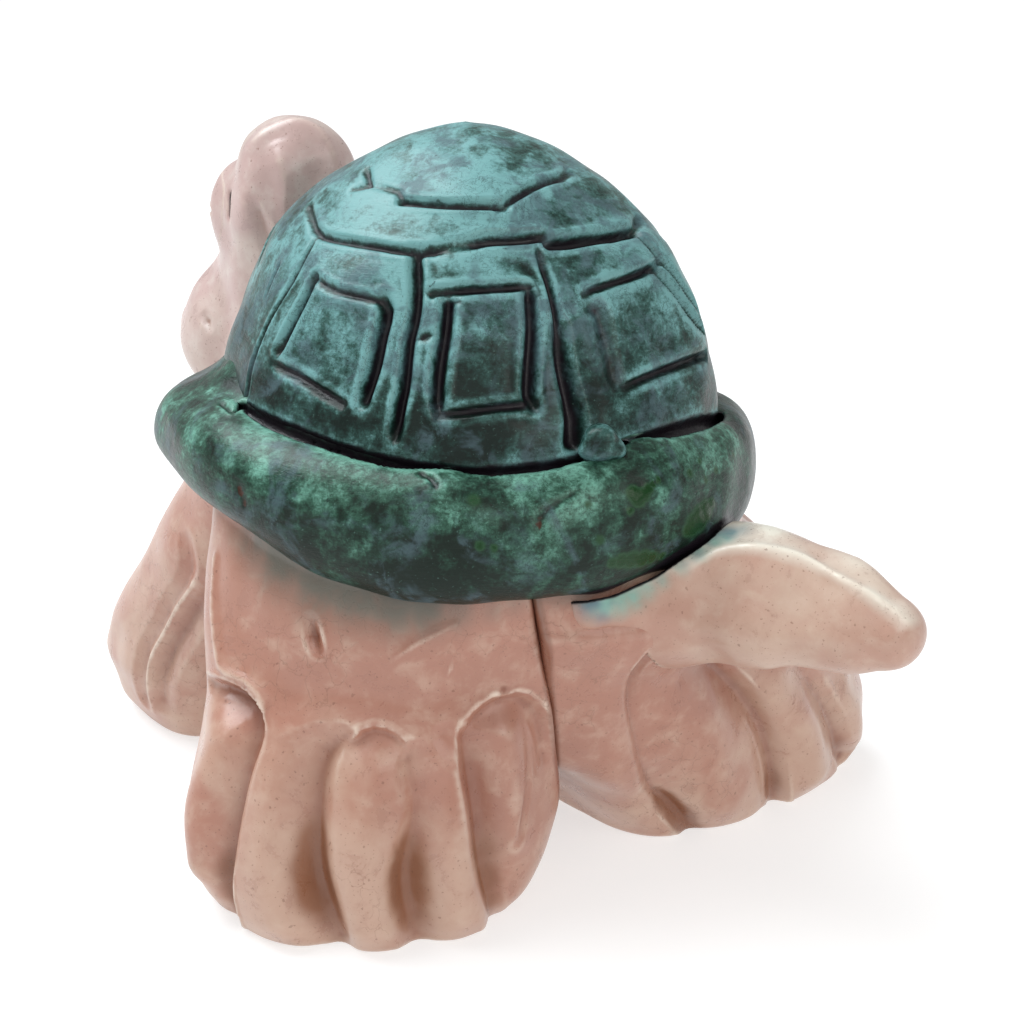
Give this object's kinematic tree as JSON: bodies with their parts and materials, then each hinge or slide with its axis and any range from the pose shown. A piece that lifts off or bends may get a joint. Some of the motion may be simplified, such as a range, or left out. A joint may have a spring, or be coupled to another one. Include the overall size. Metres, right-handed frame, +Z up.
{
  "type": "turtle figurine",
  "caption": "Hand-built glazed ceramic turtle standing on broad carved feet, with a domed green shell carved with scutes, a rolled rim, a raised head and a fat tapering tail.",
  "frame": {"origin": "on the table under the middle of the figurine's bounding box", "axes": "+Z up, the head looks along -Y, the tail points along +Y, the turtle's left side is +X"},
  "size_m": [0.1216, 0.1544, 0.112],
  "materials": {
    "green_glaze": "glossy mottled green glaze, pooled dark in the carved lines",
    "rim_glaze": "glossy blue-green glaze with dark pools",
    "peach_glaze": "glossy speckled peach glaze with fine crazing",
    "eye_glaze": "glossy peach glaze with a dark incised pupil"
  },
  "bodies": {
    "root": {"shell_dome": "green_glaze", "shell_rim": "rim_glaze", "shell_pellet": "green_glaze", "belly_bowl": "peach_glaze", "front_left_leg": "peach_glaze", "front_right_leg": "peach_glaze", "rear_left_leg": "peach_glaze", "rear_right_leg": "peach_glaze", "tail": "peach_glaze", "head": "peach_glaze", "left_eye": "eye_glaze", "right_eye": "eye_glaze"}
  },
  "joints": []
}
